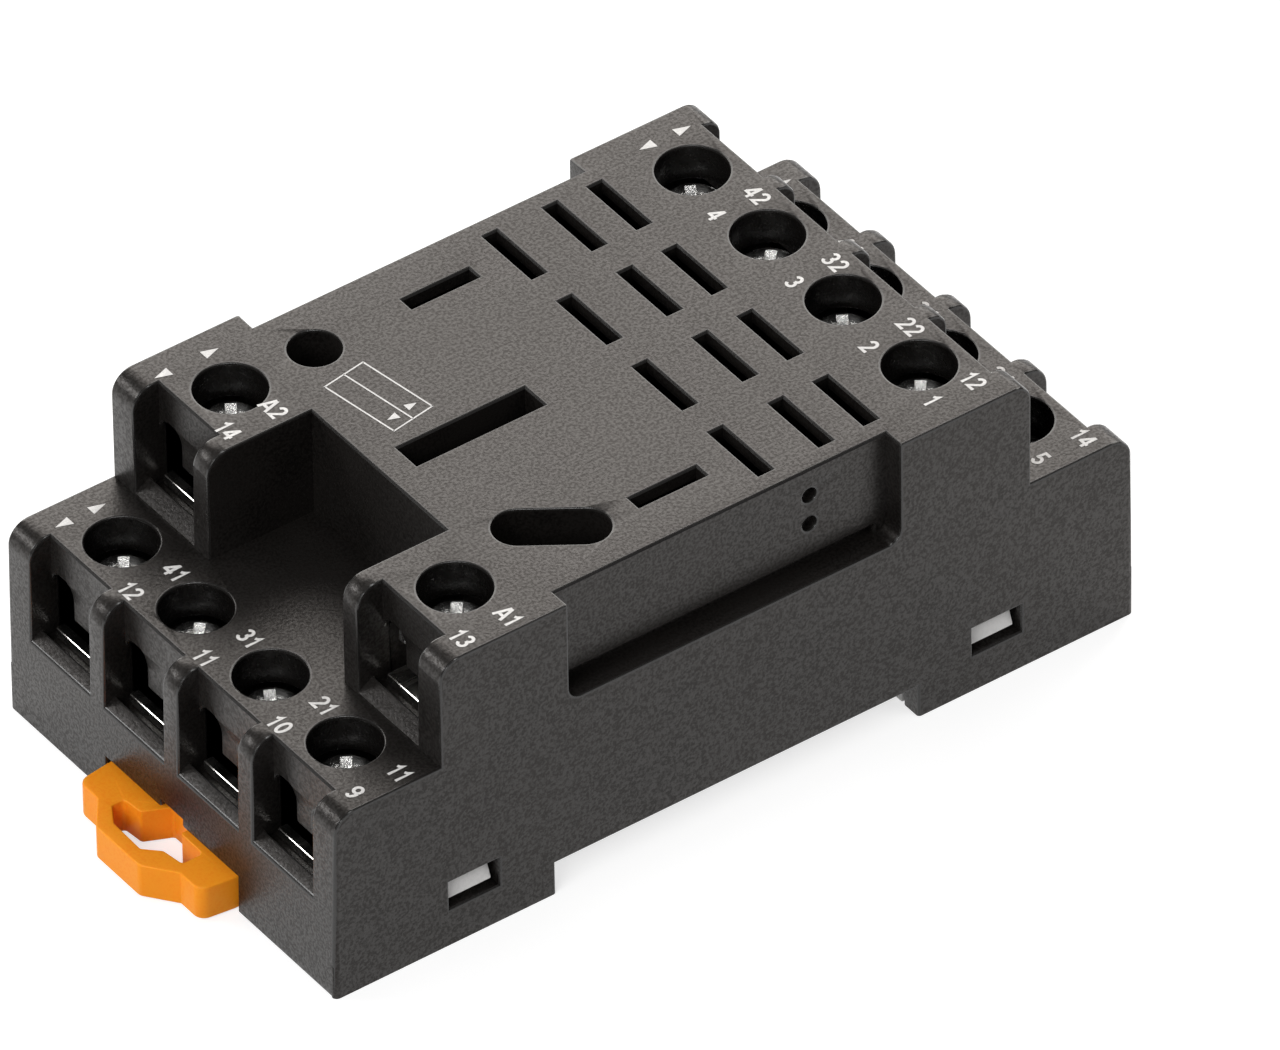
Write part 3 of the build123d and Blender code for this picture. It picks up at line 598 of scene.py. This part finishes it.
def bow(x, y, wide, tall, start, end):
    """Points on an oval, from one angle to another in degrees."""
    steps = max(4, round(abs(end - start) / 18))
    angles = [math.radians(start + (end - start) * step / steps) for step in range(steps + 1)]
    return [(x + wide * math.cos(angle), y + tall * math.sin(angle)) for angle in angles]


# Each figure is one unit high: its width, then its strokes as the middle line of each
figure_strokes = {
    "0": (0.58, [bow(0.29, 0.5, 0.205, 0.415, 0, 360)]),
    "1": (0.48, [[(0.07, 0.70), (0.20, 0.76), (0.30, 0.92), (0.30, 0.0)]]),
    "2": (0.58, [bow(0.29, 0.68, 0.205, 0.235, 170, -30) + [(0.09, 0.085), (0.53, 0.085)]]),
    "3": (0.58, [bow(0.28, 0.715, 0.185, 0.20, 160, -90), bow(0.28, 0.30, 0.21, 0.215, 90, -160)]),
    "4": (0.60, [[(0.42, 0.0), (0.42, 0.97)], [(0.40, 0.91), (0.07, 0.30)], [(0.0, 0.285), (0.58, 0.285)]]),
    "5": (0.58, [[(0.50, 0.915), (0.16, 0.915), (0.11, 0.50)] + bow(0.29, 0.31, 0.205, 0.225, 125, -160)]),
    "6": (0.58, [bow(0.30, 0.5, 0.215, 0.415, 50, 180), bow(0.29, 0.31, 0.205, 0.225, 0, 360)]),
    "7": (0.56, [[(0.05, 0.915), (0.50, 0.915), (0.20, 0.0)]]),
    "8": (0.58, [bow(0.29, 0.72, 0.175, 0.195, 0, 360), bow(0.29, 0.29, 0.205, 0.205, 0, 360)]),
    "9": (0.58, [bow(0.28, 0.5, 0.215, 0.415, 230, 360), bow(0.29, 0.69, 0.205, 0.225, 0, 360)]),
    "A": (0.66, [[(0.04, 0.0), (0.30, 0.97)], [(0.36, 0.97), (0.62, 0.0)], [(0.15, 0.29), (0.51, 0.29)]]),
}


def figure_outline(words):
    """The words as a mesh of even strokes, one unit high and centred; each stroke lies just over the last."""
    total = sum(figure_strokes[letter][0] for letter in words) + figure_gap * (len(words) - 1)
    shape = bmesh.new()
    start = -total / 2
    for letter in words:
        width, lines = figure_strokes[letter]
        for order, line in enumerate(lines):
            points = [Vector((start + x, y - 0.5, order * stroke_lift)) for x, y in line]
            sides = []
            for index, point in enumerate(points):
                before = points[index] - points[index - 1] if index else points[1] - points[0]
                after = points[index + 1] - points[index] if index + 1 < len(points) else before
                before, after = before.normalized(), after.normalized()
                along = (before + after).normalized()
                # At a bend the corner reaches further out, up to a whole stroke's width from the middle line
                reach = min(stroke / 2 / max(0.35, along.dot(before)), stroke)
                across = Vector((-along.y, along.x, 0)) * reach
                sides.append((shape.verts.new(point + across), shape.verts.new(point - across)))
            for (left, right), (next_left, next_right) in zip(sides, sides[1:]):
                shape.faces.new((left, right, next_right, next_left))
        start += width + figure_gap
    return finished_mesh("figure", shape)


# Words read along -Y, with their tops towards +X
reading = Matrix(((0, 1, 0), (-1, 0, 0), (0, 0, 1))).to_4x4()
marks = bmesh.new()
for words, x, y, deck in figures:
    outline = figure_outline(words)
    outline.transform(Matrix.Translation((x * mm, y * mm, deck + ink_gap)) @ reading
                      @ Matrix.Scale(figure_height, 4))
    marks.from_mesh(outline)


def printed_triangle(x, y, deck, pointing, base=1.0, height=1.45):
    """A small filled triangle with its tip towards +X or -X; its place and size are in mm."""
    tip = marks.verts.new(((x + pointing * height / 2) * mm, y * mm, deck + ink_gap))
    left = marks.verts.new(((x - pointing * height / 2) * mm, (y + base / 2) * mm, deck + ink_gap))
    right = marks.verts.new(((x - pointing * height / 2) * mm, (y - base / 2) * mm, deck + ink_gap))
    marks.faces.new((tip, left, right))


triangle_y = 19.5
for minus_x, plus_x, deck in ((-34.9, -31.5, low_deck), (-25.1, -20.4, high_deck),
                              (21.8, 25.4, high_deck), (31.2, 35.2, low_deck)):
    printed_triangle(minus_x, triangle_y, deck, -1)
    printed_triangle(plus_x, triangle_y, deck, 1)

# A small key in a thin frame with a bar along its middle, set slightly askew, and a triangle in each half
key_middle = Vector((-13.1, 7.2, 0))
key_turn = Matrix.Rotation(math.radians(9), 3, "Z")
key_half_width, key_half_length, key_half_line = 2.1, 3.85, 0.07
key_outside = key_half_width + key_half_line
key_mark_x, key_mark_y = 1.05, -2.6


def key_bar(x0, y0, x1, y1):
    """One straight bar of the key, in its own millimetres."""
    corners = [key_middle + key_turn @ Vector((x, y, 0)) for x, y in ((x0, y0), (x1, y0), (x1, y1), (x0, y1))]
    marks.faces.new([marks.verts.new((c.x * mm, c.y * mm, high_deck + ink_gap)) for c in corners])


for x in (-key_half_width, 0.0, key_half_width):
    key_bar(x - key_half_line, -key_half_length, x + key_half_line, key_half_length)
for y in (-key_half_length, key_half_length):
    key_bar(-key_outside, y - key_half_line, key_outside, y + key_half_line)
for pointing in (1, -1):
    key_mark = key_middle + key_turn @ Vector((pointing * key_mark_x, key_mark_y, 0))
    printed_triangle(key_mark.x, key_mark.y, high_deck, pointing, 0.8, 1.0)

bmesh.ops.recalc_face_normals(marks, faces=marks.faces)
for face in marks.faces:
    if face.normal.z < 0:
        face.normal_flip()
raised = bmesh.ops.extrude_face_region(marks, geom=list(marks.faces))
raised_verts = [item for item in raised["geom"] if isinstance(item, bmesh.types.BMVert)]
bmesh.ops.translate(marks, vec=(0, 0, ink_thickness), verts=raised_verts)
bmesh.ops.recalc_face_normals(marks, faces=marks.faces)
printed = put_in_scene("printed_marks", finished_mesh("printed_marks", marks))
printed.data.materials.append(white_ink)
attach(printed, "socket_body")


# Studio
# A plain pale floor that keeps the socket's shadow, in a dim even surround with soft boxes round it.
# The camera stands two metres off behind a long lens, at the photograph's angle.
floor_half_width = 3.0
floor_drop = 0.02 * mm
floor_shape = bmesh.new()
bmesh.ops.create_grid(floor_shape, x_segments=1, y_segments=1, size=floor_half_width)
floor = put_in_scene("floor", finished_mesh("floor", floor_shape))
floor.location.z = -floor_drop

floor_paint = bpy.data.materials.new("pale floor")
floor_paint.use_nodes = True
tree = floor_paint.node_tree
surface = tree.nodes["Principled BSDF"]
surface.inputs["Base Color"].default_value = (0.55, 0.55, 0.55, 1)
surface.inputs["Roughness"].default_value = 0.9
surface.inputs["Specular IOR Level"].default_value = 0.0
# To the camera and in reflections the floor also glows, so that it comes out white
seen = tree.nodes.new("ShaderNodeLightPath")
bright = tree.nodes.new("ShaderNodeMath")
bright.operation = "MAXIMUM"
join(tree, seen.outputs["Is Camera Ray"], bright.inputs[0])
join(tree, seen.outputs["Is Glossy Ray"], bright.inputs[1])
glow = tree.nodes.new("ShaderNodeEmission")
join(tree, bright.outputs["Value"], glow.inputs["Strength"])
glow.inputs["Color"].default_value = (0.66, 0.66, 0.66, 1)
both = tree.nodes.new("ShaderNodeAddShader")
join(tree, surface.outputs["BSDF"], both.inputs[0])
join(tree, glow.outputs["Emission"], both.inputs[1])
# Seen from below, the floor is clear, so that the socket's underside can be looked at
side = tree.nodes.new("ShaderNodeNewGeometry")
clear = tree.nodes.new("ShaderNodeBsdfTransparent")
one_sided = tree.nodes.new("ShaderNodeMixShader")
join(tree, side.outputs["Backfacing"], one_sided.inputs[0])
join(tree, both.outputs["Shader"], one_sided.inputs[1])
join(tree, clear.outputs["BSDF"], one_sided.inputs[2])
join(tree, one_sided.outputs["Shader"], tree.nodes["Material Output"].inputs["Surface"])
floor.data.materials.append(floor_paint)

surround = bpy.data.worlds.new("surround")
surround.use_nodes = True
bpy.context.scene.world = surround
fill = surround.node_tree.nodes["Background"]
fill.inputs["Color"].default_value = (1, 1, 1, 1)
fill.inputs["Strength"].default_value = 0.15


def soft_light(name, place, target, width, height, power, colour=(1.0, 1.0, 1.0)):
    """A rectangular softbox that faces a target point."""
    lamp = bpy.data.lights.new(name, "AREA")
    lamp.shape = "RECTANGLE"
    lamp.size, lamp.size_y, lamp.energy, lamp.color = width, height, power, colour
    holder = put_in_scene(name, lamp)
    holder.location = place
    holder.rotation_euler = (Vector(target) - Vector(place)).to_track_quat("-Z", "Y").to_euler()


# Each light: its place and its target in metres, its width and height in metres, and its power in watts
soft_light("back softbox", (0.33, 0.46, 0.38), (0, 0, 0.02), 0.8, 0.5, 4.7, (1.0, 0.96, 0.92))
soft_light("top softbox", (0.05, 0.07, 0.8), (0, 0, 0), 0.2, 0.2, 0.7)
soft_light("left softbox", (-0.62, -0.30, 0.50), (0, 0, 0.01), 0.5, 0.4, 4.2)
soft_light("left edge light", (-0.58, 0.56, 0.40), (0, 0, 0.01), 0.34, 0.26, 2.2)
soft_light("right edge light", (0.40, -0.58, 0.55), (0, 0, 0.01), 0.4, 0.3, 1.2)

# The camera's angles, distance and focal length come from a fit of the socket's corners to the photograph
azimuth, elevation, roll = (math.radians(angle) for angle in (35.637, 40.193, -0.779))
looking = Vector((math.sin(azimuth) * math.cos(elevation), math.cos(azimuth) * math.cos(elevation),
                  -math.sin(elevation)))
level_right = Vector((math.cos(azimuth), -math.sin(azimuth), 0))
level_up = level_right.cross(looking)
right = math.cos(roll) * level_right + math.sin(roll) * level_up
up = -math.sin(roll) * level_right + math.cos(roll) * level_up
aim = Vector((-0.25 * mm, 0, 14 * mm))
distance, aside, above = 1952.712 * mm, 5.637 * mm, -0.048 * mm
eye = aim - distance * looking + aside * right + above * up
focal_pixels, photo_pixels = 24878.473, 1280
lens = bpy.data.cameras.new("camera")
lens.sensor_width = 36.0
lens.lens = lens.sensor_width * focal_pixels / photo_pixels
lens.clip_start, lens.clip_end = 0.1, 20.0
camera = put_in_scene("camera", lens)
camera.matrix_world = Matrix.Translation(eye) @ Matrix((right, up, -looking)).transposed().to_4x4()
bpy.context.scene.camera = camera
bpy.context.scene.view_settings.view_transform = "Standard"
